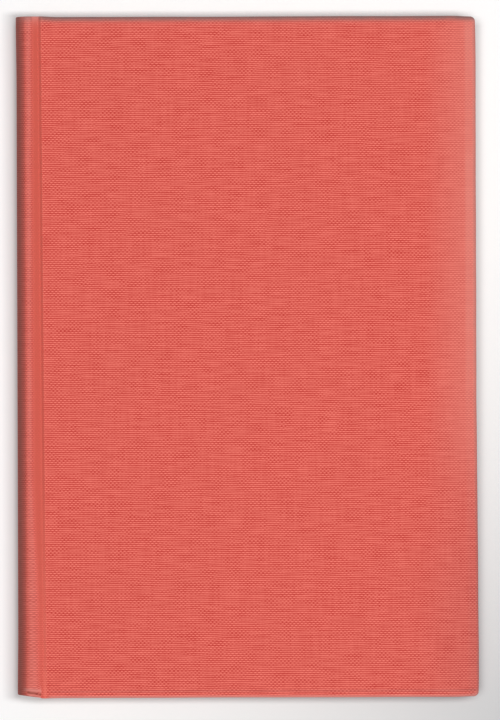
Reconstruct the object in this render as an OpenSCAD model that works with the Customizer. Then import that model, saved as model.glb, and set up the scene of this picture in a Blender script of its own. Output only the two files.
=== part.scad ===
/* [Pages] */
// Height of a leaf, head to tail
leaf_h = 216; // [150:1:320]
// Thickness of the sewn and pressed pages
text_t = 16; // [10:0.5:30]
// Sewn sections in the text block
sections = 10; // [6:1:16]
// Depth of the furrow between two section folds
fold_furrow = 0.4; // [0.1:0.05:0.6]
// Radius of the outermost fold, which the backing bends over into the shoulder
nose_r = 0.45; // [0.3:0.05:0.6]
// How far the trimmed fore-edge curves in at its middle
fore_edge_hollow = 3; // [1:0.5:5]
// Thickness of the endpaper
endpaper_t = 0.2; // [0.1:0.05:0.3]

/* [Boards] */
// Width of a bare board, joint to fore-edge
board_w = 140.7; // [90:0.1:220]
// Thickness of a bare board
board_t = 2.4; // [1.8:0.1:3.2]
// How far a covered board stands past the leaves at head, tail and fore-edge
square_w = 3; // [2:0.5:5]
// Blunting of the board's corners, seen on its face
corner_r = 1.2; // [0.4:0.1:3]
// Softening of the board's long edges, seen in section
edge_r = 0.4; // [0.2:0.1:0.6]

/* [Cloth] */
// Thickness of the glued book cloth
cloth_t = 0.4; // [0.3:0.05:0.6]
// Width of the cloth turned in over the board's inner face
turn_in = 15; // [10:1:20]
// Width of the mitre's parting line at the turned-in corners
mitre_w = 0.15; // [0.1:0.05:0.3]

/* [Joint] */
// Clear width of the pressed groove between ridge and board
groove_w = 3.5; // [2.5:0.1:6]
// Radius of the ridge that the shoulder makes under the cloth
ridge_r = 1.4; // [1.2:0.1:2]
// How far the ridge stays below the board's outer face
ridge_drop = 0.3; // [0.2:0.1:1]
// Radius where the cloth turns from a wall into the groove's floor
groove_r = 0.3; // [0.2:0.1:0.5]

/* [Spine] */
// How far the rounded spine stands out past the crest of the ridge
spine_bulge = 3.8; // [2.8:0.1:5]
// Thickness of the card that stiffens the spine
inlay_t = 0.5; // [0.3:0.1:0.8]
// Thickness of the kraft lining glued over the back
lining_t = 0.2; // [0.1:0.05:0.4]
// How much shorter the lining is than the leaves, at each end
lining_short = 1; // [0.5:0.5:5]
// Thickness of the mull, the gauze that holds the pages to the boards
mull_t = 0.2; // [0.1:0.05:0.3]
// How far the mull stops short of the turned-in cloth and the bands' tapes
mull_short = 2; // [1:0.5:10]
// Width of the mull's wing on each board
mull_wing_w = 22; // [15:1:30]
// How much shorter the spine's cloth is at the tail than the boards
tail_short = 1.4; // [0:0.1:2]

/* [Bands] */
// Width of a band's bead, across the pages' head
band_w = 1.4; // [1:0.1:2]
// Height of a band's bead over the pages' edge
band_h = 1.1; // [0.8:0.1:1.8]
// Length of a band's tape, glued down the back
band_tape_h = 9; // [6:1:11]

/* [Fits] */
// Air between a closed cover and the flyleaf under it
cover_gap = 0.3; // [0.3:0.05:0.6]
// Air between the fixed cloth and the swinging cloth in the groove
joint_slit = 0.3; // [0.3:0.05:0.6]
// Air between the shoulder's nose and the cloth over it
nose_gap = 0.3; // [0.2:0.05:0.4]
// Air in the hollow back, under the turned-in cloth
hollow = 0.3; // [0.2:0.05:1]
// Air between a band's tape and the lining over it
band_gap = 0.02; // [0.01:0.01:0.05]

/* [Hidden] */

cloth_colour = [0.86, 0.40, 0.35];
board_colour = [0.62, 0.57, 0.50];
page_colour = [0.93, 0.89, 0.79];
endpaper_colour = [0.95, 0.92, 0.85];
mull_colour = [0.88, 0.86, 0.78];
kraft_colour = [0.72, 0.58, 0.42];
band_colour = [0.92, 0.86, 0.74];

// Steps in a small round, in a shoulder, in the fore-edge and in one section fold
round_steps = 6;
shoulder_steps = 10;
fore_edge_steps = 20;
fold_steps = 8;
// What a cut runs past the face that it opens
past = 1;

// Heights through the closed book, counted up from the table
case_t = text_t + 2 * (endpaper_t + cover_gap + endpaper_t + cloth_t + board_t + cloth_t);
mid_z = case_t / 2;
board_top = case_t - cloth_t;
board_in = board_top - board_t;
turn_in_z = board_in - cloth_t;
pastedown_z = turn_in_z - endpaper_t;
text_top = mid_z + text_t / 2;
flyleaf_top = text_top + endpaper_t;
groove_z = board_in + cloth_t;

// Lengths along the spine
leaf_end = leaf_h / 2;
cloth_end = leaf_end + square_w;
board_end = cloth_end - cloth_t;
window_end = cloth_end - turn_in;
mull_end = min(window_end, leaf_end - band_tape_h) - mull_short;

// Places across the book, with the middle of its whole width at zero
cover_w = board_w + 2 * cloth_t;
case_w = cover_w + groove_w + ridge_r + spine_bulge;
spine_x = -case_w / 2;
fore_x = case_w / 2;
ridge_x = spine_x + spine_bulge;
cover_x = fore_x - cover_w;
board_x = cover_x + cloth_t;
flange_x = ridge_x + ridge_r + groove_r;
swing_x = flange_x + joint_slit;
leaf_x = fore_x - square_w;
window_x = fore_x - turn_in;

// The spine is an arc that runs into the ridge's round without a corner
ridge_z = case_t - ridge_drop - ridge_r;
ridge_rise = ridge_z - mid_z;
spine_r = (spine_bulge ^ 2 + ridge_rise ^ 2 - ridge_r ^ 2) / (2 * (spine_bulge - ridge_r));
spine_centre = [spine_x + spine_r, mid_z];
spine_a = asin(ridge_rise / (spine_r - ridge_r));
spine_steps = fold_steps * sections;

// Radii of the layers in the back, from the cloth inwards
inlay_r = spine_r - cloth_t;
cap_r = inlay_r - inlay_t;
hollow_r = cap_r - cloth_t;
lining_r = hollow_r - hollow;
mull_r = lining_r - lining_t;
back_r = mull_r - mull_t;

// The shoulder leaves the page at its foot and ends in a nose under the ridge
nose = [ridge_x + ridge_r - cloth_t - nose_gap - nose_r, ridge_z];
shoulder_foot = swing_x - endpaper_t;
shoulder_w = shoulder_foot - nose.x - nose_r;
shoulder_h = nose.y - text_top;

// Steps by which the layers of the back stop short of the ridge's middle
flare_margin = fold_steps / 2;
inlay_margin = flare_margin - 1;
band_margin = flare_margin + 1;

// The back flares from its round out to the nose, along a line that touches the nose
flare_start = spine_point(back_r, spine_steps - flare_margin);
flare_run = nose - flare_start;
nose_a = atan2(flare_run.y, flare_run.x) + asin(nose_r / norm(flare_run)) + 90;

// Point on the round back at one of its even steps, from the lower ridge to the upper one
function spine_point(r, i) = let (a = spine_a * (2 * i / spine_steps - 1))
    spine_centre + r * [-cos(a), sin(a)];

// Arc from one angle to another, with both its ends
function arc(centre, r, from, to, steps) = [
    for (i = [0:steps]) let (a = from + (to - from) * i / steps)
        centre + r * [cos(a), sin(a)]
];

function reversed(points) = [for (i = [len(points) - 1:-1:0]) points[i]];

// The same points seen from the other cover, in reverse order
function under(points) = [for (p = reversed(points)) [p.x, case_t - p.y]];

// Half of the cloth's section, from the groove over the ridge, where inset is the depth below its face
function ridge_line(inset) = concat(
    arc([flange_x, groove_z + groove_r], groove_r + inset, 270, 180, round_steps),
    arc([ridge_x, ridge_z], ridge_r - inset, 0, 180 - spine_a, 2 * round_steps)
);

// The cloth's section from groove to groove
function spine_line(inset) = concat(
    ridge_line(inset),
    [for (i = [spine_steps - 1:-1:1]) spine_point(spine_r - inset, i)],
    under(ridge_line(inset))
);

// Backs of the sections, each fold round and a furrow between two
function folds() = [
    for (i = [flare_margin:spine_steps - flare_margin])
        let (u = 2 * (i % fold_steps) / fold_steps - 1)
            spine_point(back_r - fold_furrow * (1 - sqrt(1 - u ^ 2)), i)
];

// Round of the nose, grown by what covers it, from the page's side over to the back
function nose_line(cover) = arc(nose, nose_r + cover, 0, nose_a, round_steps);

// Hollow side of the shoulder, from its foot up to a share of the way to the nose
function shoulder_line(cover, share) = [
    for (i = [0:round(shoulder_steps * share)]) let (a = 90 * i / shoulder_steps)
        [
            shoulder_foot - (shoulder_w - cover) * sin(a),
            nose.y - (shoulder_h - cover) * cos(a)
        ]
];

// Fore-edge of the pages, hollow because the back was rounded after trimming
function fore_edge() = let (
    r = (text_t ^ 2 / 4 + fore_edge_hollow ^ 2) / (2 * fore_edge_hollow),
    a = asin(text_t / 2 / r)
) arc([leaf_x + r * cos(a), mid_z], r, 180 + a, 180 - a, fore_edge_steps);

// A round corner, or a square one where its radius is nothing
function corner(centre, r, from) = r > 0 ? arc(centre, r, from, from + 90, round_steps) : [centre];

// Rectangle with its own round at each corner, from the lower left one round to the right
function soft_rectangle(from, to, radii) = concat(
    corner(from + radii[0] * [1, 1], radii[0], 180),
    corner([to.x - radii[1], from.y + radii[1]], radii[1], 270),
    corner(to - radii[2] * [1, 1], radii[2], 0),
    corner([from.x + radii[3], to.y - radii[3]], radii[3], 90)
);

// A section across the spine, drawn out along the book
module along(from, to) {
    translate([0, to, 0]) rotate([90, 0, 0]) linear_extrude(to - from) children();
}

// A section seen from the spine, drawn out across the book
module across(from, to) {
    translate([from, 0, 0]) rotate([90, 0, 90]) linear_extrude(to - from) children();
}

// A box between two corners
module block(from, to) {
    translate(from) cube(to - from);
}

// One even layer of the round back
module back_layer(r_in, r_out, margin, from, to) {
    steps = [margin:spine_steps - margin];
    along(from, to) polygon(concat(
        [for (i = steps) spine_point(r_out, i)],
        reversed([for (i = steps) spine_point(r_in, i)])
    ));
}

// What belongs to the back cover is the front cover's twin, upside down
module underside() {
    translate([0, 0, case_t]) mirror([0, 0, 1]) children();
}

// A board, grown by a cloth's thickness for the shape that the cloth makes over it
module board_shape(grow) {
    edge = edge_r + grow;
    corner = corner_r + grow;
    end = board_end + grow;
    top = board_top + grow;
    intersection() {
        along(-end, end) polygon(soft_rectangle(
            [board_x - grow, board_in - grow], [fore_x - cloth_t + grow, top], [0, edge, edge, edge]
        ));
        across(swing_x, fore_x) polygon(soft_rectangle(
            [-end, board_in - grow], [end, top], [edge, edge, edge, edge]
        ));
        translate([0, 0, board_in - grow]) linear_extrude(board_t + 2 * grow) polygon(soft_rectangle(
            [board_x - grow, -end], [fore_x - cloth_t + grow, end], [0, corner, corner, 0]
        ));
    }
}

// Cut where the two turn-ins meet at a corner
module mitre() {
    for (side = [-1, 1])
        translate([fore_x, side * cloth_end, turn_in_z - past])
            rotate(side * -135) translate([0, -mitre_w / 2, 0])
                cube([sqrt(2) * turn_in + past, mitre_w, cloth_t + past]);
}

// All the leaves: round and backed at the spine, hollow at the fore-edge
module text_block() {
    shoulder = concat(shoulder_line(0, 0.9), nose_line(0));
    color(page_colour) along(-leaf_end, leaf_end) polygon(concat(
        fore_edge(),
        shoulder,
        reversed(folds()),
        under(shoulder)
    ));
}

// The free half of the endpaper, tipped to the first leaf up to the shoulder
module flyleaf() {
    color(endpaper_colour) along(-leaf_end, leaf_end) polygon(concat(
        [[leaf_x, text_top], [leaf_x, flyleaf_top]],
        shoulder_line(endpaper_t, 0.8),
        reversed(shoulder_line(0, 0.8))
    ));
}

module front_flyleaf() {
    flyleaf();
}

module back_flyleaf() {
    underside() flyleaf();
}

// Gauze glued over the folds and round both noses
module mull() {
    steps = [spine_steps - flare_margin:-1:flare_margin];
    color(mull_colour) along(-mull_end, mull_end) polygon(concat(
        nose_line(mull_t),
        [for (i = steps) spine_point(mull_r, i)],
        under(nose_line(mull_t)),
        reversed(concat(nose_line(0), [for (i = steps) spine_point(back_r, i)], under(nose_line(0))))
    ));
}

// Strip of kraft paper that smooths the back
module spine_lining() {
    lining_end = leaf_end - lining_short;
    color(kraft_colour) back_layer(mull_r, lining_r, flare_margin, -lining_end, lining_end);
}

// Worked band, turned round the back: a bead on the pages' edge and a tape glued to the folds
module band() {
    outer = mull_r - band_gap;
    bead = [outer - band_w / 2, leaf_end];
    a = spine_a * (1 - 2 * band_margin / spine_steps);
    color(band_colour) translate([spine_centre.x, 0, mid_z]) rotate([-90, 0, 0]) rotate(180 - a)
        rotate_extrude(angle = 2 * a, $fn = 180) polygon(concat(
            [[back_r, leaf_end - band_tape_h], [outer, leaf_end - band_tape_h]],
            [for (p = arc([0, 0], 1, 0, 180, 2 * round_steps)) bead + [p.x * band_w / 2, p.y * band_h]],
            [[back_r, leaf_end]]
        ));
}

module head_band() {
    band();
}

module tail_band() {
    mirror([0, 1, 0]) band();
}

// Card inside the spine's cloth, which keeps the spine round
module spine_inlay() {
    color(kraft_colour)
        back_layer(cap_r, inlay_r, inlay_margin, tail_short - board_end, board_end);
}

// The covering cloth over the back, turned in round the ends of the inlay
module spine_cloth() {
    tail = tail_short - cloth_end;
    color(cloth_colour) {
        along(tail, cloth_end) polygon(concat(spine_line(0), reversed(spine_line(cloth_t))));
        back_layer(hollow_r, inlay_r, inlay_margin, board_end, cloth_end);
        back_layer(hollow_r, cap_r, inlay_margin, window_end, cloth_end);
        back_layer(hollow_r, inlay_r, inlay_margin, tail, tail + cloth_t);
        back_layer(hollow_r, cap_r, inlay_margin, tail, tail + turn_in);
    }
}

// Greyboard with its edges softened in the press
module cover_board() {
    color(board_colour) board_shape(0);
}

module front_board() {
    cover_board();
}

module back_board() {
    underside() cover_board();
}

// The covering cloth over one board: down into the groove on one side, turned in on the other three
module cover_cloth() {
    color(cloth_colour) difference() {
        union() {
            board_shape(cloth_t);
            along(-cloth_end, cloth_end) polygon(concat(
                [[swing_x, turn_in_z], [board_x, turn_in_z], [board_x, groove_z + groove_r]],
                arc([cover_x - groove_r, groove_z + groove_r], groove_r, 360, 270, round_steps),
                [[swing_x, groove_z]]
            ));
        }
        board_shape(0);
        block([swing_x - past, -window_end, turn_in_z - past], [window_x, window_end, board_in]);
        mitre();
    }
}

module front_cloth() {
    cover_cloth();
}

module back_cloth() {
    underside() cover_cloth();
}

// The mull's wing, glued to the joint and the board under the pastedown
module mull_wing() {
    color(mull_colour) block(
        [swing_x, -mull_end, board_in - mull_t],
        [cover_x + mull_wing_w, mull_end, board_in]
    );
}

module front_mull_wing() {
    mull_wing();
}

module back_mull_wing() {
    underside() mull_wing();
}

// The pasted half of the endpaper, down over the turn-ins and the wing of the mull
module pastedown() {
    wing_x = cover_x + mull_wing_w;
    color(endpaper_colour) difference() {
        block([swing_x, -leaf_end, pastedown_z], [leaf_x, leaf_end, board_in]);
        // Bed of the turned-in cloth
        difference() {
            block([swing_x - past, -leaf_end - past, turn_in_z], [leaf_x + past, leaf_end + past, board_in + past]);
            block([swing_x - 2 * past, -window_end, turn_in_z - past], [window_x, window_end, board_in + 2 * past]);
        }
        // Bed of the mull
        block([swing_x - past, -mull_end, board_in - mull_t], [wing_x, mull_end, board_in + past]);
        // The sunk middle of the sheet, less the rise that the mull makes in it
        difference() {
            block(
                [swing_x - past, endpaper_t - window_end, pastedown_z - past],
                [window_x - endpaper_t, window_end - endpaper_t, board_in - endpaper_t]
            );
            block(
                [swing_x - 2 * past, -mull_end - endpaper_t, board_in - mull_t - endpaper_t],
                [wing_x + endpaper_t, mull_end + endpaper_t, board_in]
            );
        }
    }
}

module front_pastedown() {
    pastedown();
}

module back_pastedown() {
    underside() pastedown();
}

text_block();
front_flyleaf();
back_flyleaf();
mull();
spine_lining();
head_band();
tail_band();
spine_inlay();
spine_cloth();
front_board();
front_cloth();
front_mull_wing();
front_pastedown();
back_board();
back_cloth();
back_mull_wing();
back_pastedown();
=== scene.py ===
import math
import bmesh
import bpy
import numpy as np
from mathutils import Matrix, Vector, noise


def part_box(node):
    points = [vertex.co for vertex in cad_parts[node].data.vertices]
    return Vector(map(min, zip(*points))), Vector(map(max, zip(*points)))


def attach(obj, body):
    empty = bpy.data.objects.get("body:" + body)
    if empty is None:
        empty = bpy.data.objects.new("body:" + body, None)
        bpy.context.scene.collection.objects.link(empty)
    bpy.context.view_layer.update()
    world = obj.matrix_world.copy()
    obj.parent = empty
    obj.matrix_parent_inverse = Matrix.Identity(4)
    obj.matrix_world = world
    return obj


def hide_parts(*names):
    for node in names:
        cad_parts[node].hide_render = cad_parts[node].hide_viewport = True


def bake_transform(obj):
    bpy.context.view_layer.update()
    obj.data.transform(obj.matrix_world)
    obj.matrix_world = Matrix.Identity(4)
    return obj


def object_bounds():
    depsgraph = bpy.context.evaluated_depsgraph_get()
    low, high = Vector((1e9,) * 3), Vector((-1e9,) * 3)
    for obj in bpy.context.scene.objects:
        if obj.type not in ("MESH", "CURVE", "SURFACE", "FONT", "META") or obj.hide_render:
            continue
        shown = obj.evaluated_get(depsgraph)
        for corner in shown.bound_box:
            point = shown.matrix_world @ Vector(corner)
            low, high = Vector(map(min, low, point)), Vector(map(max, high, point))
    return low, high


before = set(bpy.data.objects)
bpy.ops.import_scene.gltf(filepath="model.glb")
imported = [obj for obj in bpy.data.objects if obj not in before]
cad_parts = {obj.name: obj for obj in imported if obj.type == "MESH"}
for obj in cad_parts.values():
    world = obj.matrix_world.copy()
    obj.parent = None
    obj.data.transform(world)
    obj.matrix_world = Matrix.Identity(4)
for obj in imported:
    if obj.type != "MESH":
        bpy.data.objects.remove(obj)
cad_low, cad_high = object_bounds()

# The pages: ten sections of cream book paper, sewn through their folds, rounded and backed with a
# hammer into two shoulders. The fore-edge was trimmed before the rounding, so it is hollow, and
# the leaves stand a hair proud of one another at the three cut edges.
MM = 0.001
case_t = cad_high.z / MM
mid_z = case_t / 2
fore_x = cad_high.x / MM
spine_x = cad_low.x / MM
head_y = cad_high.y / MM
leaf_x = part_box("text_block")[1].x / MM
leaf_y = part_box("text_block")[1].y / MM
text_t = 16.0
ridge_x = -71.3
ridge_z = 22.1
ridge_r = 1.4
spine_r = 24.275
spine_centre = np.array([spine_x + spine_r, mid_z])
spine_turn = math.asin((ridge_z - mid_z) / (spine_r - ridge_r))
sections = 10
rows_in_fold = 8
fold_furrow = 0.4
back_r = 22.275
shoulder_foot = -69.5
nose = np.array([-71.05, ridge_z])
nose_r = 0.45
shoulder_lines = 14
flat_columns = 34
bend_columns = 14


def arc(centre, r, start, end, steps):
    """Points of an arc in the book's cross-section, with angles in degrees."""
    a = np.radians(np.linspace(start, end, steps + 1))
    return np.array(centre) + r * np.stack([np.cos(a), np.sin(a)], 1)


def along(line, shares):
    """Points at some shares of a line's length."""
    run = np.concatenate([[0], np.cumsum(np.linalg.norm(np.diff(line, axis=0), axis=1))])
    places = np.asarray(shares) * run[-1]
    return np.stack([np.interp(places, run, line[:, k]) for k in range(line.shape[1])], 1)


def ease(x, start, end):
    """Smooth step from 0 at start to 1 at end."""
    t = np.clip((np.asarray(x, float) - start) / (end - start), 0, 1)
    return t * t * (3 - 2 * t)


def rough(points, scale, seed):
    """Smooth noise from -1 to 1 at an array of points, with bumps about scale millimetres apart."""
    shape = points.shape[:-1]
    offset = Vector((seed * 7.3, seed * 3.1, seed * 5.7))
    values = [noise.noise(Vector(p) / scale + offset) for p in points.reshape(-1, 3)]
    return np.array(values).reshape(shape)


def piece_from_grids(name, grids, flip=False, marks=None, outwards=True):
    """A piece from grids of points in millimetres, each with its texture places, welded where they meet."""
    points, places, faces, count = [], [], [], 0
    for grid, place in grids:
        rows, columns = grid.shape[:2]
        index = count + np.arange(rows * columns).reshape(rows, columns)
        quads = np.stack([index[:-1, :-1], index[:-1, 1:], index[1:, 1:], index[1:, :-1]], -1)
        faces.append(quads.reshape(-1, 4))
        points.append(grid.reshape(-1, 3))
        places.append(place.reshape(-1, 2))
        count += rows * columns
    faces = np.concatenate(faces)
    if flip:
        faces = faces[:, ::-1]
    mesh = bpy.data.meshes.new(name)
    mesh.from_pydata((np.concatenate(points) * MM).tolist(), [], faces.tolist())
    layer = mesh.uv_layers.new(name="Thread")
    layer.data.foreach_set("uv", (np.concatenate(places) * MM)[faces.ravel()].astype(np.float32).ravel())
    for mark, values in (marks or {}).items():
        attribute = mesh.attributes.new(mark, "FLOAT", "POINT")
        attribute.data.foreach_set("value", np.concatenate([v.ravel() for v in values]).astype(np.float32))
    welded = bmesh.new()
    welded.from_mesh(mesh)
    bmesh.ops.remove_doubles(welded, verts=welded.verts, dist=0.001 * MM)
    if outwards:
        bmesh.ops.recalc_face_normals(welded, faces=welded.faces)
    welded.to_mesh(mesh)
    welded.free()
    piece = bpy.data.objects.new(name, mesh)
    bpy.context.scene.collection.objects.link(piece)
    return piece


def smooth(piece, degrees):
    """Shades a piece smooth, except over edges sharper than this."""
    piece.data.shade_smooth()
    piece.data.set_sharp_from_angle(angle=math.radians(degrees))


def leaf_grid():
    """Section of the pages: one line for each group of leaves, from the fore-edge to the fold."""
    main = np.arange(rows_in_fold // 2, rows_in_fold * sections - rows_in_fold // 2 + 1)
    level = 2 * main / (rows_in_fold * sections) - 1
    across = 2 * (main % rows_in_fold) / rows_in_fold - 1
    r = back_r - fold_furrow * (1 - np.sqrt(1 - across ** 2))
    fold = spine_centre + np.stack([-r * np.cos(level * spine_turn), r * np.sin(level * spine_turn)], 1)
    run = nose - fold[-1]
    lean = math.degrees(math.atan2(run[1], run[0]) + math.asin(nose_r / np.linalg.norm(run))) + 90
    shoulder = np.concatenate([fold[-1:], arc(nose, nose_r, lean, 0, 16)])
    shares = np.linspace(0, 1, shoulder_lines + 1)[1:]
    outer = along(shoulder, shares)
    outer_level = level[-1] + (1 - level[-1]) * shares
    low = outer[::-1] * [1, -1] + [0, case_t]
    level = np.concatenate([-outer_level[::-1], level, outer_level])
    fold = np.concatenate([low, fold, outer])
    fore_r = (text_t ** 2 / 4 + fore_hollow ** 2) / (2 * fore_hollow)
    fore_centre = leaf_x + math.sqrt(fore_r ** 2 - text_t ** 2 / 4)
    fore = fore_centre - np.sqrt(fore_r ** 2 - (level * text_t / 2) ** 2)
    z = mid_z + level * text_t / 2
    flat = np.linspace(0, 1, flat_columns)[:, None] ** 1.3
    straight = np.stack([fore + (bend_x - fore) * flat, np.broadcast_to(z, (flat_columns, len(level)))], -1)
    foot = np.array([bend_x, mid_z + text_t / 2])
    rise = arc([0, 0], 1, 270, 180, 12) * [shoulder_foot - nose[0] - nose_r, ridge_z - foot[1]]
    rise = rise + [shoulder_foot, ridge_z]
    share = np.linspace(0, 1, bend_columns + 1)[1:, None, None]
    path = along(np.concatenate([foot[None], rise]), share[:, 0, 0])
    bow = path - (foot + (path[-1] - foot) * share[:, 0])
    start = np.stack([np.full(len(level), bend_x), z], 1)
    pull = np.abs(level) ** 3
    side = np.where(level < 0, -1, 1)
    bent = start + (fold - start) * share
    bent = bent + np.stack([bow[:, :1] * pull, bow[:, 1:] * pull * side], -1)
    return np.concatenate([straight, bent]), level


fore_hollow = 3.0
bend_x = -66.0
leaf_lines, level = leaf_grid()
furrow_depth = 0.07
furrow_w = 0.06
end_uneven = 0.06
fore_uneven = 0.08
fore_wave = 0.05
throw = np.random.default_rng(11)
between = (level * sections / 2 + 0.5) % 1 - 0.5
furrow = furrow_depth * np.exp(-(between / furrow_w) ** 2) * (np.abs(level) < 0.95)
head_step = throw.uniform(0, end_uneven, len(level)) + furrow
tail_step = throw.uniform(0, end_uneven, len(level)) + furrow
fore_step = throw.uniform(0, fore_uneven, len(level)) + furrow * 0.6
shares = np.linspace(0, 1, 61)
columns = len(leaf_lines)
block = np.zeros((columns, len(level), len(shares), 3))
block[..., 0] = leaf_lines[:, :, None, 0]
block[..., 2] = leaf_lines[:, :, None, 1]
block[..., 1] = -leaf_y + tail_step[:, None] + (2 * leaf_y - tail_step - head_step)[:, None] * shares
block[0, :, :, 0] -= fore_step[:, None] + fore_wave * (1 + rough(block[0] * [0, 1, 4], 20, 3))


def block_side(points, first, second):
    """One side of the block, with its texture places along two of the axes."""
    return points, np.stack([first, second], -1)


lift = np.broadcast_to((level * text_t / 2)[None, :], (columns, len(level)))
lift_y = np.broadcast_to((level * text_t / 2)[:, None], (len(level), len(shares)))
pages = piece_from_grids("pages", [
    block_side(block[:, :, 0], block[:, :, 0, 0], lift),
    block_side(block[:, :, -1], block[:, :, -1, 0], lift),
    block_side(block[0], block[0, :, :, 1], lift_y),
    block_side(block[-1], block[-1, :, :, 1], lift_y),
    block_side(block[:, 0], block[:, 0, :, 0], block[:, 0, :, 1]),
    block_side(block[:, -1], block[:, -1, :, 0], block[:, -1, :, 1]),
])
smooth(pages, 30)


class Finish:
    """A surface finish built from shader nodes, in the order in which it would be laid on."""

    def __init__(self, name, roughness):
        self.material = bpy.data.materials.new(name)
        self.material.use_nodes = True
        self.nodes = self.material.node_tree.nodes
        self.links = self.material.node_tree.links
        self.skin = self.nodes["Principled BSDF"]
        self.skin.inputs["Roughness"].default_value = roughness
        self.skin.inputs["Specular IOR Level"].default_value = 0.25

    def feed(self, socket, value):
        """Joins a socket to another one, or sets it to a number or a colour."""
        if isinstance(value, bpy.types.NodeSocket):
            self.links.new(value, socket)
        elif isinstance(value, tuple) and len(value) == 3 and socket.type == "RGBA":
            socket.default_value = (*value, 1)
        else:
            socket.default_value = value

    def math(self, operation, *values):
        node = self.nodes.new("ShaderNodeMath")
        node.operation = operation
        for socket, value in zip(node.inputs, values):
            self.feed(socket, value)
        return node.outputs[0]

    def mix(self, share, first, second, blend="MIX"):
        node = self.nodes.new("ShaderNodeMix")
        node.data_type = "RGBA"
        node.blend_type = blend
        self.feed(node.inputs[0], share)
        self.feed(node.inputs[6], first)
        self.feed(node.inputs[7], second)
        return node.outputs[2]

    def place(self, source):
        """Texture places: along the piece's own threads, or by its axes."""
        if source == "Thread":
            node = self.nodes.new("ShaderNodeUVMap")
            node.uv_map = "Thread"
            return node.outputs[0]
        return self.nodes.new("ShaderNodeTexCoord").outputs["Object"]

    def stretched(self, place, scale):
        node = self.nodes.new("ShaderNodeVectorMath")
        node.operation = "MULTIPLY"
        self.feed(node.inputs[0], place)
        node.inputs[1].default_value = scale
        return node.outputs[0]

    def parts(self, place):
        node = self.nodes.new("ShaderNodeSeparateXYZ")
        self.feed(node.inputs[0], place)
        return node.outputs

    def grain(self, place, scale, detail):
        """Noise at the given places, about 0 to 1, with its scale in bumps per metre along each axis."""
        node = self.nodes.new("ShaderNodeTexNoise")
        self.feed(node.inputs["Vector"], self.stretched(place, scale))
        node.inputs["Scale"].default_value = 1.0
        node.inputs["Detail"].default_value = detail
        return node.outputs["Fac"]

    def span(self, value, start, end, low=0.0, high=1.0):
        """Maps a value from start..end to low..high, and no further."""
        node = self.nodes.new("ShaderNodeMapRange")
        self.feed(node.inputs["Value"], value)
        node.inputs["From Min"].default_value = start
        node.inputs["From Max"].default_value = end
        node.inputs["To Min"].default_value = low
        node.inputs["To Max"].default_value = high
        return node.outputs["Result"]

    def mark(self, name):
        node = self.nodes.new("ShaderNodeAttribute")
        node.attribute_name = name
        return node.outputs["Fac"]

    def colour(self, value):
        self.feed(self.skin.inputs["Base Color"], value)

    def relief(self, height, distance, strength=1.0):
        """Bump whose height of 1 stands distance millimetres proud."""
        node = self.nodes.new("ShaderNodeBump")
        node.inputs["Strength"].default_value = strength
        node.inputs["Distance"].default_value = distance * MM
        self.feed(node.inputs["Height"], height)
        self.feed(self.skin.inputs["Normal"], node.outputs["Normal"])

    def dress(self, *pieces):
        for piece in pieces:
            piece.data.materials.clear()
            piece.data.materials.append(self.material)


leaf_shade = (0.50, 0.42, 0.30)
leaf_cream = (0.80, 0.73, 0.59)
leaf_brown = (0.70, 0.60, 0.44)
leaf_dust = (0.46, 0.39, 0.31)
cut_paper = Finish("cut_paper", 0.8)
place = cut_paper.place("Thread")
leaves = cut_paper.grain(place, (30, 9000, 1), 1.0)
groups = cut_paper.grain(place, (12, 1700, 1), 2.0)
dust = cut_paper.grain(cut_paper.place("Object"), (60, 60, 60), 3.0)
tone = cut_paper.mix(cut_paper.span(leaves, 0.3, 0.7), leaf_shade, leaf_cream)
tone = cut_paper.mix(cut_paper.span(groups, 0.35, 0.7, 0, 0.5), tone, leaf_brown)
tone = cut_paper.mix(cut_paper.span(dust, 0.5, 0.75, 0, 0.35), tone, leaf_dust)
cut_paper.colour(tone)
cut_paper.relief(leaves, 0.03)
cut_paper.dress(pages)
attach(pages, "block")
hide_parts("text_block")

# The mull is open cotton gauze, pasted over the folds and out over both joints, and the kraft
# strip over it smooths the back. The card inlay belongs to the case. All of them are hidden when
# the book is shut, and show only down the hollow of the spine.
gauze_pitch = 0.9
gauze_turn = 2 * math.pi / (gauze_pitch * MM)
gauze_gap = (0.52, 0.42, 0.27)
gauze_cotton = (0.78, 0.74, 0.64)
glue_brown = (0.60, 0.48, 0.30)
gauze = Finish("gauze", 0.9)
place = gauze.place("Object")
x, y, z = gauze.parts(place)
warp = gauze.math("SINE", gauze.math("MULTIPLY", gauze.math("ADD", x, z), gauze_turn))
weft = gauze.math("SINE", gauze.math("MULTIPLY", y, gauze_turn))
net = gauze.math("MAXIMUM", warp, weft)
glue = gauze.grain(place, (90, 90, 90), 3.0)
tone = gauze.mix(gauze.span(net, 0.2, 0.9), gauze_gap, gauze_cotton)
gauze.colour(gauze.mix(gauze.span(glue, 0.45, 0.7, 0, 0.4), tone, glue_brown))
gauze.relief(net, 0.12)
gauze.dress(*[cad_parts[n] for n in ("mull", "front_mull_wing", "back_mull_wing")])

kraft_dark = (0.36, 0.24, 0.13)
kraft_light = (0.50, 0.36, 0.21)
kraft_patch = (0.33, 0.22, 0.13)
kraft = Finish("kraft_paper", 0.75)
place = kraft.place("Object")
fibre = kraft.grain(place, (700, 160, 700), 4.0)
patch = kraft.grain(place, (45, 30, 45), 2.0)
tone = kraft.mix(kraft.span(fibre, 0.35, 0.7), kraft_dark, kraft_light)
kraft.colour(kraft.mix(kraft.span(patch, 0.4, 0.7, 0, 0.4), tone, kraft_patch))
kraft.relief(fibre, 0.03)
kraft.dress(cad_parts["spine_lining"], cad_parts["spine_inlay"])

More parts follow.
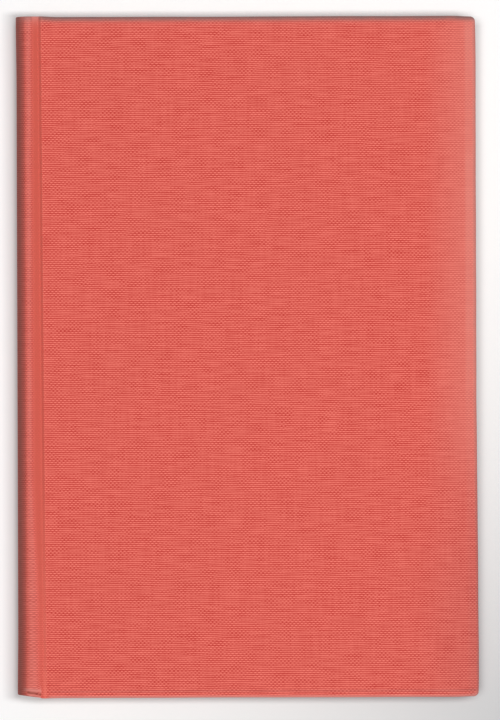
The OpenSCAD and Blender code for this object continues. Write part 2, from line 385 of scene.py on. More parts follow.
# The two bands: natural cotton thread wound round a cord and worked down to a row of beads where
# it meets the pages. Each stands on the pages' edge, with its tape glued down the folds.
band_r = 22.455
band_w = 1.4
band_h = 1.1
band_tape_y = 99.0
bare_rows = 5
band_turn = spine_turn * (1 - 2 * bare_rows / (rows_in_fold * sections))
wraps = 38
thread_swell = 0.09
bead_swell = 0.16
bead_at = math.radians(158)


def worked_band(name, side):
    """One band, where side is 1 at the head and -1 at the tail."""
    turns = np.linspace(-band_turn, band_turn, wraps * 6 + 1)
    dome = np.radians(np.linspace(0, 180, 17))
    out = np.concatenate([[back_r, band_r], band_r - band_w / 2 * (1 - np.cos(dome)), [back_r - 0.01]])
    up = np.concatenate([[band_tape_y] * 2, leaf_y + band_h * np.sin(dome), [leaf_y]])
    thread = np.linspace(0, wraps, len(turns))[:, None] - 0.35 * dome / math.pi
    ply = np.abs(np.sin(np.pi * thread)) ** 0.7 - 1
    bead = np.exp(-((dome - bead_at) / 0.25) ** 2)
    swell = thread_swell * ply * np.sin(dome) ** 0.5 + bead * (bead_swell * (ply + 1))
    inside = band_r - band_w / 2
    r = np.broadcast_to(out, (len(turns), len(out))).copy()
    h = np.broadcast_to(up, (len(turns), len(up))).copy()
    r[:, 2:-1] += swell * (r[:, 2:-1] - inside) / (band_w / 2)
    h[:, 2:-1] += swell * np.sin(dome)
    r[:, -2] = r[:, -2].clip(max=band_r - band_w + 0.02)
    ring = np.stack([
        spine_centre[0] - r * np.cos(turns)[:, None],
        side * h,
        spine_centre[1] + r * np.sin(turns)[:, None],
    ], -1)
    ring = np.concatenate([ring, ring[:, :1]], 1)
    run = np.concatenate([[0], np.cumsum(np.linalg.norm(np.diff(ring[0], axis=0), axis=1))])
    place = np.stack(np.broadcast_arrays(turns[:, None] * band_r, run[None, :]), -1)
    band = piece_from_grids(name, [(ring, place)])
    close_ends(band)
    smooth(band, 50)
    return band


def close_ends(piece):
    """Closes the open ends of a piece with flat faces."""
    ends = bmesh.new()
    ends.from_mesh(piece.data)
    bmesh.ops.holes_fill(ends, edges=[e for e in ends.edges if e.is_boundary])
    bmesh.ops.recalc_face_normals(ends, faces=ends.faces)
    ends.to_mesh(piece.data)
    ends.free()


cotton_shade = (0.55, 0.47, 0.34)
cotton_light = (0.82, 0.76, 0.63)
cotton_aged = (0.55, 0.45, 0.32)
cotton = Finish("cotton_thread", 0.65)
cotton.skin.inputs["Sheen Weight"].default_value = 0.15
place = cotton.place("Thread")
strand = cotton.grain(place, (9000, 900, 1), 2.0)
age = cotton.grain(place, (300, 300, 1), 2.0)
tone = cotton.mix(cotton.span(strand, 0.35, 0.65), cotton_shade, cotton_light)
cotton.colour(cotton.mix(cotton.span(age, 0.5, 0.8, 0, 0.4), tone, cotton_aged))
cotton.relief(strand, 0.03)
for end, side in (("head", 1), ("tail", -1)):
    band = worked_band(end + "_band_thread", side)
    cotton.dress(band)
    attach(band, "block")
    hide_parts(end + "_band")

# The endpapers: one folded sheet of off-white paper at each side. The free halves lie on the pages
# up to the shoulder. The other halves are pasted down inside the boards, over the turned-in cloth
# and the wing of the mull, which show through as low steps, and cross the joint as a soft fold.
endpaper_t = 0.2
mull_t = 0.2
paper_skin = 0.17
paper_wave = 0.025
board_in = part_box("front_board")[0].z / MM
turn_in_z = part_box("front_cloth")[0].z / MM
wing_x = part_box("front_mull_wing")[1].x / MM
wing_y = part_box("front_mull_wing")[1].y / MM
turn_in = 15.0
swing_x = -69.3
fold_x = -70.33
fold_z = 21.42
step_w = 1.4


def pasted_half(name, under, seed):
    """The pasted half of an endpaper, seen from the pages: its open face, with the fold at the joint."""
    bend = np.radians(np.linspace(90, 0, 17))[:-1]
    around = step_w * np.linspace(-1, 1, 7)
    flat = swing_x + (leaf_x - swing_x) * np.linspace(0, 1, 90) ** 1.25
    flat = np.unique(np.concatenate([flat, fore_x - turn_in + around, wing_x + around]).round(4))
    x = np.concatenate([swing_x + (fold_x - swing_x) * np.sin(bend), flat])
    rows = np.linspace(-leaf_y, leaf_y, 121)
    for edge in (head_y - turn_in, wing_y):
        rows = np.concatenate([rows, edge + around, -edge - around])
    rows = np.unique(rows.clip(-leaf_y, leaf_y).round(4))
    x, y = np.meshgrid(x, rows)
    cloth_under = np.maximum(
        ease(np.abs(y), head_y - turn_in - step_w, head_y - turn_in),
        ease(x, fore_x - turn_in - step_w, fore_x - turn_in),
    )
    mull_under = ease(-np.abs(y), -wing_y - step_w, -wing_y) * ease(-x, -wing_x - step_w, -wing_x)
    over_cloth = (board_in - turn_in_z) * cloth_under
    over_mull = mull_t * mull_under * (1 - cloth_under)
    z = board_in - endpaper_t - over_cloth - over_mull
    z += paper_wave * rough(np.stack([x, y, 0 * x], -1), 22, seed) * (1 - cloth_under)
    share = np.sqrt(1 - ((x - swing_x).clip(max=0) / (fold_x - swing_x)) ** 2)
    z = np.where(x < swing_x, fold_z - (fold_z - z) * share, z)
    lengths = np.linalg.norm(np.diff(np.stack([x[0], z[0]], 1), axis=0), axis=1)
    u = x[0, -1] + np.cumsum(np.concatenate([[0], lengths])) - lengths.sum()
    place = np.stack([np.broadcast_to(u, x.shape), y], -1)
    face = np.stack([x, y, z], -1)
    if under:
        face = face * [1, 1, -1] + [0, 0, case_t]
    piece = piece_from_grids(name, [(face, place)], flip=not under, outwards=False)
    thicken(piece, paper_skin)
    smooth(piece, 40)
    return piece


def thicken(piece, skin):
    """Gives a face its real thickness, in millimetres, away from its open side."""
    solid = piece.modifiers.new("thickness", "SOLIDIFY")
    solid.thickness = skin * MM
    solid.offset = -1
    bpy.context.view_layer.update()
    solved = piece.evaluated_get(bpy.context.evaluated_depsgraph_get())
    mesh = bpy.data.meshes.new_from_object(solved)
    piece.modifiers.clear()
    piece.data = mesh


paper_shade = (0.77, 0.72, 0.61)
paper_light = (0.83, 0.79, 0.69)
paper_cloud = (0.78, 0.71, 0.57)
age_brown = (0.55, 0.41, 0.25)


def endpaper_finish(name, source):
    """Uncoated off-white paper with faint fibres and a few brown age spots."""
    paper = Finish(name, 0.72)
    place = paper.place(source)
    fibre = paper.grain(place, (2600, 900, 2600), 4.0)
    cloud = paper.grain(place, (24, 24, 24), 3.0)
    spots = paper.grain(place, (150, 150, 150), 1.0)
    tone = paper.mix(paper.span(fibre, 0.3, 0.7), paper_shade, paper_light)
    tone = paper.mix(paper.span(cloud, 0.4, 0.7, 0, 0.5), tone, paper_cloud)
    tone = paper.mix(paper.span(spots, 0.74, 0.82, 0, 0.35), tone, age_brown)
    paper.colour(tone)
    paper.relief(fibre, 0.02)
    return paper


pasted_paper = endpaper_finish("pasted_endpaper", "Thread")
free_paper = endpaper_finish("free_endpaper", "Object")
free_paper.dress(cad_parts["front_flyleaf"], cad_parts["back_flyleaf"])
for cover in ("front", "back"):
    sheet = pasted_half(cover + "_endpaper", cover == "back", 5 if cover == "front" else 9)
    pasted_paper.dress(sheet)
    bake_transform(sheet)
    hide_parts(cover + "_pastedown")

# The boards are grey millboard, cut with a guillotine and not quite square, their edges softened in
# the press and their fore corners blunted by use. The cloth and the endpapers hide them all round.
cloth_t = 0.4
cover_w = 141.5
cover_x = fore_x - cover_w
board_edge_r = 0.4
board_near_r = 0.5
board_corner_r = 1.2
board_gap = 0.03
joint_shift = 0.4
joint_lean = 0.6
ridge_swell = 1.4
fore_narrowing = 0.55
spine_flare = 0.2
edge_wander = 0.08
corner_wear = 0.25


def settled(points, seed):
    """Where points of a cover really lie: the joint leans towards the tail and the fore-edge flares there."""
    x, y = points[..., 0], points[..., 1]
    swell = 0.15 + ridge_swell * ease(-y, 35, 85)
    lean = -joint_shift - joint_lean * y / head_y
    into_groove = ease(x, ridge_x + ridge_r, cover_x - 0.5)
    shift = swell * ease(x, ridge_x - 1.2, ridge_x + ridge_r) * (1 - into_groove)
    shift = shift + lean * into_groove * (1 - ease(x, cover_x + 5, cover_x + 45))
    narrow = fore_narrowing * (1 - ((-y - 14) / 91).clip(0, 1)) * ease(x, 0, fore_x - 5)
    flare = spine_flare * ease(np.abs(y), 88, head_y) * (1 - ease(x, spine_x + 1, ridge_x))
    row = np.stack([0 * x, y, 0 * x], -1)
    column = np.stack([x, 0 * x, 0 * x], -1)
    wander = edge_wander * (rough(row, 18, seed + 2) - 1) * ease(x, fore_x - 6, fore_x - 1)
    rise = edge_wander * (rough(column, 22, seed + 3) - 1) - 0.15 * (y > 0)
    near_end = ease(np.abs(y), head_y - 6, head_y - 1) * ease(x, cover_x, cover_x + 6)
    corner = corner_wear * ease(x, fore_x - 9, fore_x) * ease(np.abs(y), head_y - 9, head_y)
    moved = points.copy()
    moved[..., 0] += shift - narrow - flare + wander - 0.5 * corner
    moved[..., 1] += np.sign(y) * (rise * near_end - corner)
    return moved


def greyboard(name, under, seed):
    """One board, made from its outline in plan and the rounded section of its edge."""
    half_y = head_y - cloth_t
    near = cover_x + cloth_t
    far = fore_x - cloth_t
    low, high = board_near_r, board_corner_r
    outline = np.concatenate([
        arc([far - high, half_y - high], high, 0, 90, 6),
        np.linspace([far - high, half_y], [near + low, half_y], 36)[1:-1],
        arc([near + low, half_y - low], low, 90, 180, 4),
        np.linspace([near, half_y - low], [near, low - half_y], 50)[1:-1],
        arc([near + low, low - half_y], low, 180, 270, 4),
        np.linspace([near + low, -half_y], [far - high, -half_y], 36)[1:-1],
        arc([far - high, high - half_y], high, 270, 360, 6),
        np.linspace([far, high - half_y], [far, half_y - high], 50)[1:-1],
    ])
    run = np.roll(outline, -1, 0) - np.roll(outline, 1, 0)
    out = np.stack([run[:, 1], -run[:, 0]], 1) / np.linalg.norm(run, axis=1)[:, None]
    at_joint = ease(-out[:, 0], 0.3, 0.9)[:, None]
    top_r = board_edge_r + (board_near_r - board_edge_r) * at_joint
    rings = []
    for turn in np.radians(np.linspace(0, 90, 6)):
        inset = board_edge_r * (1 - math.sin(turn))
        height = np.full((len(outline), 1), board_in + board_edge_r * (1 - math.cos(turn)))
        rings.append(np.hstack([outline - out * inset, height]))
    for turn in np.radians(np.linspace(0, 90, 6)):
        height = case_t - cloth_t - top_r * (1 - math.sin(turn))
        rings.append(np.hstack([outline - out * top_r * (1 - math.cos(turn)), height]))
    ring = settled(np.stack(rings), seed)
    ring[..., 2] -= board_gap
    ring = np.concatenate([ring, ring[:, :1]], 1)
    if under:
        ring = ring * [1, 1, -1] + [0, 0, case_t]
    board = piece_from_grids(name, [(ring, ring[..., :2])])
    close_ends(board)
    smooth(board, 50)
    return board


board_dark = (0.26, 0.22, 0.17)
board_light = (0.38, 0.33, 0.26)
board_speck = (0.15, 0.12, 0.09)
millboard = Finish("millboard", 0.85)
place = millboard.place("Object")
pulp = millboard.grain(place, (900, 900, 2500), 4.0)
speck = millboard.grain(place, (1500, 1500, 1500), 1.0)
tone = millboard.mix(millboard.span(pulp, 0.3, 0.7), board_dark, board_light)
millboard.colour(millboard.mix(millboard.span(speck, 0.7, 0.8, 0, 0.5), tone, board_speck))
millboard.relief(pulp, 0.04)
front_seed = 21
back_seed = 47
for cover, seed in (("front", front_seed), ("back", back_seed)):
    slab = greyboard(cover + "_millboard", cover == "back", seed)
    millboard.dress(slab)
    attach(slab, cover + "_cover")
    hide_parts(cover + "_board")

# The cloth: one sheet of salmon red cotton, plain woven at sixteen threads to the centimetre, glued over
# the boards and the spine, turned in on all sides and pressed into both grooves with hot irons. It crosses
# the joints unbroken, and is made here as two halves that meet down the middle of the spine.
cloth_skin = 0.35
card_t = 0.5
edge_r = cloth_t + board_edge_r
corner_r = board_corner_r - board_edge_r
groove_z = board_in + cloth_t
valley_r = 0.95
wall_turn = 35.0
rise_w = 0.55
spine_fold_r = 0.4
spine_tail = -110.0
ridge_turn_in = 2.8
ridge_hem = (-73.0, -71.6, -70.2)
mitre_reach = 70.0
mitre_parting = 0.15
cover_wave = 0.03
back_steps = 22
ridge_steps = 20
valley_steps = 9
floor_steps = 10


def cloth_line():
    """The cloth in section: its outer face from mid-spine to the fore-edge, with its folded edge below."""
    turn = math.degrees(spine_turn)
    ridge = [ridge_x, ridge_z]
    wall = math.radians(wall_turn)
    valley = ridge + (ridge_r + valley_r) * np.array([math.cos(wall), math.sin(wall)])
    floor_z = valley[1] - valley_r
    slope = cover_x + np.linspace(-rise_w, rise_w, 17)
    slope = np.stack([slope, floor_z + (case_t - floor_z) * ease(slope, slope[0], slope[-1])], 1)
    inlay = card_t + 2 * cloth_t
    top = [
        arc(spine_centre, spine_r, 180, 180 - turn, back_steps),
        arc(ridge, ridge_r, 180 - turn, wall_turn, ridge_steps)[1:],
        arc(valley, valley_r, 180 + wall_turn, 270, valley_steps)[1:],
        np.linspace([valley[0], floor_z], slope[0], floor_steps)[1:-1],
        slope,
    ]
    thin = ease(np.arange(back_steps + 1), back_steps - 5, back_steps)[:, None]
    inner = arc(spine_centre, spine_r - inlay, 180, 180 - turn, back_steps)
    bottom = [
        inner + (arc(spine_centre, spine_r - 2 * cloth_t, 180, 180 - turn, back_steps) - inner) * thin,
        arc(ridge, ridge_r - 2 * cloth_t, 180 - turn, wall_turn, ridge_steps)[1:],
        arc(valley, valley_r + 2 * cloth_t, 180 + wall_turn, 270, valley_steps)[1:],
        np.linspace([valley[0], floor_z - 2 * cloth_t], [slope[0, 0], turn_in_z], floor_steps)[1:-1],
        np.stack([slope[:, 0], np.full(len(slope), turn_in_z)], 1),
    ]
    end = fore_x - edge_r
    fine = np.array([0, 0.13, 0.27, 0.4, 0.65, 1, 1.5, 2.2, 3.2, 4.5])
    near = slope[-1, 0]
    flat = np.concatenate([near + fine[3:], np.linspace(near + 6, end - 6, 72), end - fine[::-1]])
    top.append(np.stack([flat, np.full(len(flat), case_t)], 1))
    bottom.append(np.stack([flat, np.full(len(flat), turn_in_z)], 1))
    return np.concatenate(top), np.concatenate(bottom)


def tail_at(x):
    """Where the cloth ends at the tail: the spine's is cut shorter than the boards'."""
    return spine_tail + (-head_y - spine_tail) * ease(x, spine_x, cover_x)


def cloth_half(name, under, seed):
    """Half of the covering cloth, from mid-spine round one board to its turned-in edges."""
    top, bottom = cloth_line()
    down = bottom - top
    depth = np.linalg.norm(down, axis=1)
    down = down / depth[:, None]
    r = edge_r - (edge_r - spine_fold_r) * (1 - ease(top[:, 0], ridge_x - 1, ridge_x + 1))
    r = np.minimum(r, depth / 2)
    run = np.concatenate([[0], np.cumsum(np.linalg.norm(np.diff(top, axis=0), axis=1))])
    fine = np.array([0, 0.13, 0.27, 0.4, 0.65, 1, 1.4, 1.9, 2.4, 3, 3.7, 4.5, 5.5])
    span = 2 * (head_y - edge_r)
    rows = np.concatenate([fine, np.linspace(7, span - 7, 104), span - fine[::-1]])
    shares = (rows / span)[:, None]
    head = (head_y - r)[None, :]
    tail = (tail_at(top[:, 0]) + r)[None, :]
    y = tail + (head - tail) * shares
    x = np.broadcast_to(top[:, 0], y.shape).copy()
    z = np.broadcast_to(top[:, 1], y.shape).copy()
    out = np.zeros(y.shape + (2,))
    out[-1, :, 1] = 1
    out[0, :, 1] = -1
    out[:, -1, 0] = 1

    # Both fore corners are rounded in plan, as the board's are.
    for side in (1, -1):
        hub = np.array([fore_x - edge_r - corner_r, side * (head_y - edge_r - corner_r)])
        a = ((x - hub[0]) / corner_r).clip(0, 1)
        b = ((y - hub[1]) * side / corner_r).clip(0, 1)
        inside = (a > 0) & (b > 0)
        round_x = a * np.sqrt(1 - b ** 2 / 2)
        round_y = b * np.sqrt(1 - a ** 2 / 2)
        x = np.where(inside, hub[0] + corner_r * round_x, x)
        y = np.where(inside, hub[1] + side * corner_r * round_y, y)
        rim = inside & ((a > 0.999) | (b > 0.999))
        out[rim] = np.stack([round_x, side * round_y], -1)[rim]
    face = np.stack([x, y, z], -1)
    place = np.stack([np.broadcast_to(run, y.shape), y], -1)

    # The edge runs along the head, down the fore-edge and back along the tail. All along it the cloth
    # turns over the board, goes down its side, turns under it and lies flat inside.
    path = [(len(rows) - 1, i) for i in range(len(top))]
    path += [(j, len(top) - 1) for j in range(len(rows) - 2, -1, -1)]
    path += [(0, i) for i in range(len(top) - 2, -1, -1)]
    row, column = np.array(path).T
    start = face[row, column]
    way = np.concatenate([out[row, column], np.zeros((len(row), 1))], 1)
    sink = np.stack([down[column, 0], np.zeros(len(row)), down[column, 1]], 1)
    reach, deep = r[column], depth[column]
    turns = np.radians(np.linspace(0, 90, 7))
    rings, lengths = [], []
    for t in turns:
        beside = way * (reach * math.sin(t))[:, None]
        rings.append(start + beside + sink * (reach * (1 - math.cos(t)))[:, None])
        lengths.append(reach * t)
    for share in (0.33, 0.67):
        rings.append(start + way * reach[:, None] + sink * (reach + (deep - 2 * reach) * share)[:, None])
        lengths.append(reach * math.pi / 2 + (deep - 2 * reach) * share)
    for t in turns:
        beside = way * (reach * math.cos(t))[:, None]
        rings.append(start + beside + sink * (deep - reach * (1 - math.sin(t)))[:, None])
        lengths.append(reach * (math.pi / 2 + t) + deep - 2 * reach)
    outer = start + way * reach[:, None]
    wider = turn_in - ridge_turn_in
    width = ridge_turn_in + wider * ease(start[:, 0], ridge_hem[2], swing_x)
    width = np.maximum(width, ridge_turn_in + wider * ease(-start[:, 0], -ridge_hem[1], -ridge_hem[0]))
    for share in (0.04, 0.1, 0.26, 0.5, 0.78, 0.97, 1):
        back = reach + (width - reach) * share
        ring = outer + sink * deep[:, None] - way * back[:, None]
        rings.append(mitred(ring, outer, way, back))
        lengths.append(reach * math.pi + deep - 2 * reach + back - reach)
    skirt = np.stack(rings)
    skirt_place = place[row, column] + way[None, :, :2] * np.stack(lengths)[..., None]

    worn = [wear(points, seed, not under) for points in (face, skirt)]
    marks = {kind: [wear_at[kind] for wear_at in worn] for kind in worn[0]}
    grids = [(out_of_true(face, seed, not under), place), (out_of_true(skirt, seed, not under), skirt_place)]
    if under:
        grids = [(g * [1, 1, -1] + [0, 0, case_t], p * [-1, 1]) for g, p in grids]
    piece = piece_from_grids(name, grids, flip=under, marks=marks, outwards=False)
    thicken(piece, cloth_skin)
    smooth(piece, 45)
    return piece


def mitred(ring, outer, way, back):
    """Slides a turned-in edge back from the corners, so that two turn-ins meet along a mitre."""
    ring = ring.copy()
    for side in (1, -1):
        corner = np.array([fore_x, side * head_y])
        gap_x = corner[0] - outer[:, 0]
        gap_y = (corner[1] - outer[:, 1]) * side
        on_end = (np.abs(way[:, 1]) >= np.abs(way[:, 0])) & (way[:, 1] * side > 0) & (outer[:, 0] > cover_x)
        on_fore = (np.abs(way[:, 0]) > np.abs(way[:, 1])) & (outer[:, 1] * side > 0)
        pull = back * (1 - gap_x / mitre_reach).clip(0)
        ring[on_end, 0] = (outer[:, 0] - pull)[on_end]
        ring[on_end, 1] = (corner[1] - side * back)[on_end]
        pull = back * (1 - gap_y / mitre_reach).clip(0)
        ring[on_fore, 1] = (outer[:, 1] - side * pull)[on_fore]
        ring[on_fore, 0] = (corner[0] - back)[on_fore]
        parting = np.abs(np.abs(way[:, 0]) - np.abs(way[:, 1])) < 0.05
        parting &= outer[:, 1] * side > 0
        ring[parting, 2] += mitre_parting
    return ring


def near_line(x, y, start, end, width):
    """1 on a short line across the cover, falling softly to 0 at a distance of about its width."""
    way = np.array(end) - start
    share = (((x - start[0]) * way[0] + (y - start[1]) * way[1]) / (way @ way)).clip(0, 1)
    away = np.hypot(x - start[0] - share * way[0], y - start[1] - share * way[1])
    return np.exp(-(away / width) ** 2)


def tail_pinch(x, y):
    """The cloth pinched together at the tail of the spine: a raised fold, its hem and the crease between."""
    fold = near_line(x, y, (-72.8, -108.1), (-68.5, -108.7), 0.5)
    hem = near_line(x, y, (-71.9, -109.8), (-69, -110.6), 0.3)
    crease = near_line(x, y, (-71.9, -109.05), (-68.7, -109.9), 0.25)
    return fold, hem, crease


def out_of_true(points, seed, pinched):
    """The shape that use has given the cover: its lean, its uneven face and its pinched cloth at the tail."""
    x, y, z = points[..., 0], points[..., 1], points[..., 2]
    shape = settled(points, seed)
    top = ease(z, board_in, case_t - 0.3)
    waves = rough(np.stack([x, y, 0 * x], -1), 35, seed + 1) * ease(x, cover_x, cover_x + 4)
    shape[..., 2] += cover_wave * (waves - 1) * top
    if pinched:
        fold, hem, crease = tail_pinch(x, y)
        filled = ease(x, ridge_x + 0.2, ridge_x + 1.4) * (1 - ease(x, cover_x - 0.1, cover_x + 0.9))
        filled = filled * (0.4 * ease(-y, 20, 90) + 0.3 * ease(-y, 98, 109)) * ease(z, board_in, groove_z)
        shape[..., 2] += top * (0.25 * fold - 0.3 * crease) * (1 - ease(z, case_t - 0.5, case_t - 0.2))
        shape[..., 2] += filled * (case_t - z)
    return shape


def wear(points, seed, pinched):
    """How far, from 0 to 1, each point of the cloth is pressed, painted lighter, rubbed, faded, painted
    darker and dusty. The lighter and darker paint, the pressed groove's darker colour, the paler tail edge
    and part of the dust are painted light and shade.
    """
    x, y, z = points[..., 0], points[..., 1], points[..., 2]
    flat = np.stack([x, y, 0 * x], -1)
    patchy = 0.5 + 0.5 * rough(flat, 9, seed)
    fine_patchy = 0.5 + 0.5 * rough(flat, 2.5, seed + 5)
    at_spine = 1 - ease(x, cover_x - 0.5, cover_x + 2)
    head_gap = (head_y - 0.35 - y).clip(0)

    # The groove is pressed flat, which smooths its weave, and its colour is darker there as painted shade.
    # Both edges of the groove are painted lighter, as painted light that cancels the shade on their slopes.
    groove_press_and_shade = ease(x, ridge_x + 0.9, ridge_x + 1.8) * (1 - ease(x, cover_x - 0.3, cover_x + 0.6))
    groove_press_and_shade = groove_press_and_shade * (0.88 + 0.12 * ease(y, 0, 80) - 0.5 * ease(-y, 60, 105))
    # Painted light: the two edges of the groove are painted lighter to cancel the shade on their slopes.
    slope_light = 0.1 * np.exp(-((x - ridge_x - 1.35) / 0.6) ** 2) + 0.85 * np.exp(-((x - cover_x) / 0.5) ** 2)

    # Light has faded a band along the fore-edge, and the head a little.
    fore_band = ease(x, fore_x - 4.6, fore_x - 3) * (0.62 + 0.38 * patchy)
    fore_band = (fore_band + 0.25 * ease(x, fore_x - 1.6, fore_x - 0.6)) * ease(y, -70, 0)
    bleached = 0.45 * ((x - fore_x + 17) / 12.5).clip(0, 1) * ease(y, -60, -15)
    faded = np.maximum(fore_band, bleached).clip(0.5 * np.exp(-head_gap / 1.4), 1)

    # Shelves and hands have rubbed the ridge, the corners and the head of the spine. The tail edge of the
    # board is painted paler, as a painted highlight.
    crest = np.exp(-((x - ridge_x - 0.2) / 1.1) ** 2)
    corners = ease(np.abs(y) + x, head_y + fore_x - 3.4, head_y + fore_x - 1.4)
    # Painted highlight: the tail edge is painted paler, as if lit.
    tail_highlight = ease(-y, head_y - 1.1, head_y - 0.3) * ease(x, cover_x, cover_x + 2)
    worn_and_lit = (0.45 * crest + 1.3 * tail_highlight) * (0.6 + 0.4 * patchy) + 0.65 * corners
    worn_and_lit = worn_and_lit + 0.9 * at_spine * np.exp(-head_gap / 1.2)

    # The flank of the spine is painted darker as painted shade, where it curves away from the light, and more
    # so on the half that is pinched, away from the middle of the spine.
    reach = 3.1 + 0.8 * ease(-y, -60, 100)
    shade_fade_limit = 0.9 + 0.1 * ease(x, ridge_x + 1, ridge_x + 2)
    side = 1.15 * (1 - ((x - spine_x - 0.2) / reach).clip(0, shade_fade_limit))
    painted_shade = side * (0.5 + 0.5 * pinched * ease(z, mid_z, 19))

    # Dust lies along the head, with painted shade there too, and more thinly along the fore-edge. A painted
    # crease shadow runs along the tail, the fore-edge is darker towards the tail, and painted shade darkens
    # the cover towards the corner of the tail and the fore-edge.
    head_rim = np.exp(-(head_gap / 1.1) ** 2) * (1 - 0.45 * at_spine)
    # Painted shadow of a crease along the tail.
    tail_crease_shade = np.exp(-((y + head_y - 2.1) / 0.3) ** 2) * ease(x, cover_x, cover_x + 3)
    fore_tail = ease(x, fore_x - 3.6, fore_x - 2.4) * ease(-y, 20, 90)
    # Painted shade, darker towards the corner of the tail and the fore-edge.
    lower_corner_shade = ease(x, 20, 70) * ease(-y, 20, 100)
    fore_tail_shade = ease(x, fore_x - 22, fore_x - 3) * ease(-y, 0, 75)
    dust_and_shade = head_rim * (0.75 + 0.25 * fine_patchy) + 0.22 * tail_crease_shade
    dust_and_shade = dust_and_shade + 0.1 * fore_tail + 0.04 * lower_corner_shade + 0.09 * fore_tail_shade
    fore_rim = ease(x, fore_x - 1.3, fore_x - 0.4)
    fore_dust = fore_rim * (0.35 + 0.25 * ease(-y, 0, 80)) * (0.6 + 0.4 * patchy)
    upper = 0.25 + 0.75 * ease(z, case_t - 1.5, case_t - 0.6)
    dust_and_shade = np.maximum(dust_and_shade, fore_dust) * upper

    if pinched:
        fold, hem, crease = tail_pinch(x, y)
        # Painted shade in the crease of the pinch.
        painted_shade = painted_shade + 1.2 * crease
        worn_and_lit = worn_and_lit + 1.1 * fold + 0.8 * hem
    return {
        "pressed": groove_press_and_shade,
        # Painted light on the two slopes of the groove.
        "stretched": slope_light,
        "worn_and_lit": worn_and_lit.clip(0, 1),
        "faded": faded,
        "painted_shade": painted_shade.clip(0, 1),
        "dust_and_shade": dust_and_shade.clip(0, 1),
    }


weft_pitch = 0.612
warp_pitch = 0.633
weave_depth = 0.12
# The weave's colours: painted shade in the gaps between threads, painted highlight on the thread tops.
gap_shade_red = (0.46, 0.012, 0.010)
thread_lit_red = (1.0, 0.238, 0.186)
# Lighter reds painted on the groove's slopes, as painted light.
slope_lit_gap_red = (0.85, 0.13, 0.095)
slope_lit_thread_red = (1.0, 0.26, 0.20)
patch_red = (0.66, 0.14, 0.105)
# Darker red in the pressed groove: painted shade.
pressed_red = (0.58, 0.105, 0.074)
faded_pink = (0.77, 0.28, 0.23)
# Paler pink for wear, and for a painted highlight along the tail edge.
worn_and_lit_pink = (0.79, 0.29, 0.25)
# Brown of the painted shade on the spine's flank and in the tail crease.
shade_brown = (0.22, 0.055, 0.038)
# Grey for dust, and for painted shade at the head, along the tail and towards the lower fore corner.
dust_and_shade_grey = (0.25, 0.14, 0.13)
cloth = Finish("salmon_book_cloth", 0.82)
cloth.skin.inputs["Specular IOR Level"].default_value = 0.1
cloth.skin.inputs["Sheen Weight"].default_value = 0.03
cloth.skin.inputs["Sheen Roughness"].default_value = 0.5
place = cloth.place("Thread")
u, v = cloth.parts(place)[:2]
sway = cloth.grain(place, (55, 160, 1), 2.0)
drift = cloth.grain(place, (80, 55, 1), 2.0)
across = cloth.math("ADD", u, cloth.math("MULTIPLY", cloth.math("SUBTRACT", sway, 0.5), 0.8 * MM))
up = cloth.math("ADD", v, cloth.math("MULTIPLY", cloth.math("SUBTRACT", drift, 0.5), 0.7 * MM))
warp_turn = cloth.math("MULTIPLY", across, math.pi / (warp_pitch * MM))
weft_turn = cloth.math("MULTIPLY", up, math.pi / (weft_pitch * MM))
over_under = cloth.math("MULTIPLY", cloth.math("COSINE", warp_turn), cloth.math("COSINE", weft_turn))
weft_rows = cloth.math("COSINE", cloth.math("MULTIPLY", weft_turn, 2))
slub = cloth.grain(place, (130, 1700, 1), 1.0)
end_slub = cloth.grain(place, (1600, 70, 1), 1.0)
zone = cloth.span(cloth.grain(place, (230, 260, 1), 2.0), 0.38, 0.62, 0.2, 1)
weave = cloth.math("ADD", cloth.math("MULTIPLY", over_under, zone), cloth.math("MULTIPLY", weft_rows, 0.95))
slub = cloth.math("MULTIPLY", cloth.math("SUBTRACT", slub, 0.5), 1.2)
end_slub = cloth.math("MULTIPLY", cloth.math("SUBTRACT", end_slub, 0.5), 0.5)
thread = cloth.math("ADD", weave, cloth.math("ADD", slub, end_slub))
pressed = cloth.mark("pressed")
# This mark is painted light on the two slopes of the groove.
stretched = cloth.mark("stretched")
worn_and_lit = cloth.mark("worn_and_lit")
faded = cloth.mark("faded")
painted_shade = cloth.mark("painted_shade")
dust_and_shade = cloth.mark("dust_and_shade")
thread = cloth.math("MULTIPLY", thread, cloth.span(pressed, 0, 1, 1, 0.25))
thread = cloth.math("MULTIPLY", thread, cloth.span(faded, 0, 1, 1, 0.6))
lit = cloth.span(thread, -1.2, 1.2)
# Painted shade in the weave's gaps, painted highlight on its thread tops.
tone = cloth.mix(lit, gap_shade_red, thread_lit_red)
patch = cloth.grain(place, (35, 35, 1), 3.0)
tone = cloth.mix(cloth.span(patch, 0.35, 0.7, 0, 0.1), tone, patch_red)
# The groove is painted darker: painted shade.
tone = cloth.mix(cloth.math("MULTIPLY", pressed, 0.8), tone, pressed_red)
# Painted light: the groove's slopes take these lighter reds.
slope_lit_tone = cloth.mix(lit, slope_lit_gap_red, slope_lit_thread_red)
tone = cloth.mix(stretched, tone, slope_lit_tone)
tone = cloth.mix(cloth.math("MULTIPLY", faded, 0.6), tone, faded_pink)
# Wear on the ridge, corners and spine head, and a painted highlight along the tail edge.
tone = cloth.mix(cloth.math("MULTIPLY", worn_and_lit, 0.7), tone, worn_and_lit_pink)
# Painted shade on the spine's flank and in the crease.
tone = cloth.mix(cloth.math("MULTIPLY", painted_shade, 0.8), tone, shade_brown)
# Dust, with painted shade.
tone = cloth.mix(dust_and_shade, tone, dust_and_shade_grey)
cloth.colour(tone)
cloth.relief(cloth.span(thread, -2, 2), weave_depth, 0.6)
for cover, seed in (("front", front_seed), ("back", back_seed)):
    half = cloth_half(cover + "_book_cloth", cover == "back", seed)
    cloth.dress(half)
    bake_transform(half)
    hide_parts(cover + "_cloth", "spine_cloth")

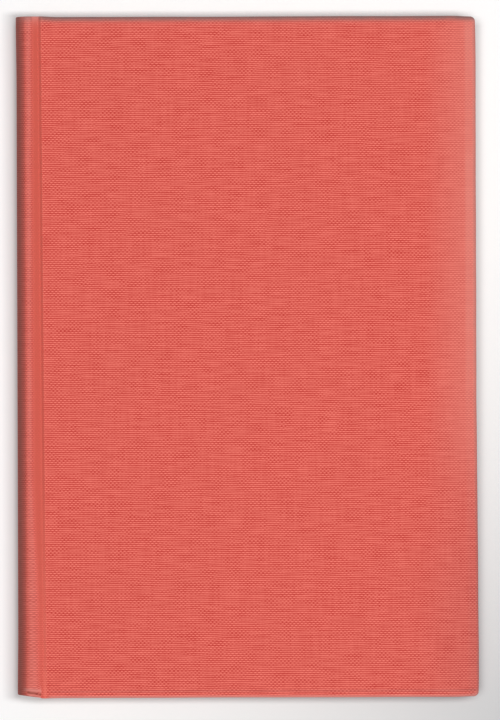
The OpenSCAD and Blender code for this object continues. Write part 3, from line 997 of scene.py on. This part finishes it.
# The setting: the book lies on a white table, painted greyer towards one corner and painted with narrow
# shadows beside the spine and the fore-edge, under one long soft lamp high above. The camera looks
# straight down on the front cover from far off, as the scan does.
floor_half = 1500.0
steps = np.linspace(-floor_half, floor_half, 3)
x, y = np.meshgrid(steps, steps)
table = piece_from_grids("table_top", [(np.stack([x, y, 0 * x], -1), np.stack([x, y], -1))], outwards=False)
grey_centre = (90, -125)
grey_reach = 220.0
corner_shade_grey = (0.58, 0.58, 0.585)
contact_shadow_grey = (0.7, 0.7, 0.7)
table_glow = 0.4
white = Finish("white_table", 0.9)
place = white.place("Object")
away = white.nodes.new("ShaderNodeVectorMath")
away.operation = "DISTANCE"
white.feed(away.inputs[0], place)
away.inputs[1].default_value = (grey_centre[0] * MM, grey_centre[1] * MM, 0)
# Painted shade: the table is painted greyer towards one corner.
shade = white.span(away.outputs["Value"], 0, grey_reach * MM, 1, 0)
table_white = white.mix(white.math("POWER", shade, 2), (1, 1, 1), corner_shade_grey)
# Painted shadows: narrow grey bands on the table beside the spine and beside the fore-edge.
x, y = white.parts(place)[:2]
beside = white.span(white.math("ABSOLUTE", y), 108 * MM, 111.5 * MM, 1, 0)
for edge, reach in ((-75.2, 1.0), (75.1, 1.8)):
    away = white.math("DIVIDE", white.math("SUBTRACT", x, edge * MM), reach * MM)
    shadow_near = white.math("EXPONENT", white.math("MULTIPLY", white.math("MULTIPLY", away, away), -1))
    table_white = white.mix(white.math("MULTIPLY", beside, shadow_near), table_white, contact_shadow_grey, "MULTIPLY")
white.colour(table_white)
glow = white.nodes.new("ShaderNodeEmission")
white.feed(glow.inputs["Color"], table_white)
rays = white.nodes.new("ShaderNodeLightPath").outputs
mirrored = white.math("MAXIMUM", rays["Is Glossy Ray"], rays["Is Transmission Ray"])
seen = white.math("MAXIMUM", rays["Is Camera Ray"], mirrored)
blend = white.nodes.new("ShaderNodeMixShader")
white.feed(blend.inputs[0], white.math("MULTIPLY", seen, table_glow))
white.feed(blend.inputs[1], white.skin.outputs[0])
white.feed(blend.inputs[2], glow.outputs[0])
white.feed(white.nodes["Material Output"].inputs["Surface"], blend.outputs[0])
white.dress(table)

sky_strength = 0.3
world = bpy.data.worlds.new("studio")
bpy.context.scene.world = world
world.use_nodes = True
sky = world.node_tree.nodes["Background"]
sky.inputs["Color"].default_value = (1, 1, 1, 1)
sky.inputs["Strength"].default_value = sky_strength


def lamp(name, place, aim, width, length, power):
    """A soft strip lamp facing a point below it, with its length from the spine to the fore-edge."""
    light = bpy.data.lights.new(name, "AREA")
    light.shape = "RECTANGLE"
    light.size = width * MM
    light.size_y = length * MM
    light.energy = power
    stand = bpy.data.objects.new(name, light)
    stand.location = Vector(place) * MM
    stand.rotation_euler = (Vector(aim) * MM - stand.location).to_track_quat("-Z", "Y").to_euler()
    stand.visible_camera = False
    bpy.context.scene.collection.objects.link(stand)


lamp("key_lamp", place=(200, 0, 1500), aim=(0, 0, 0), width=120, length=450, power=16)

view_height = 234.3
view_centre = (0.78, -1.05)
view_turn = -0.18
camera_height = 5000.0
sensor_w = 36
lens = bpy.data.cameras.new("camera")
lens.sensor_width = sensor_w
lens.lens = sensor_w * camera_height / view_height
camera = bpy.data.objects.new("camera", lens)
camera.location = (view_centre[0] * MM, view_centre[1] * MM, (case_t + camera_height) * MM)
camera.rotation_euler = (0, 0, math.radians(view_turn))
bpy.context.scene.collection.objects.link(camera)
bpy.context.scene.camera = camera
bpy.context.scene.view_settings.view_transform = "Standard"
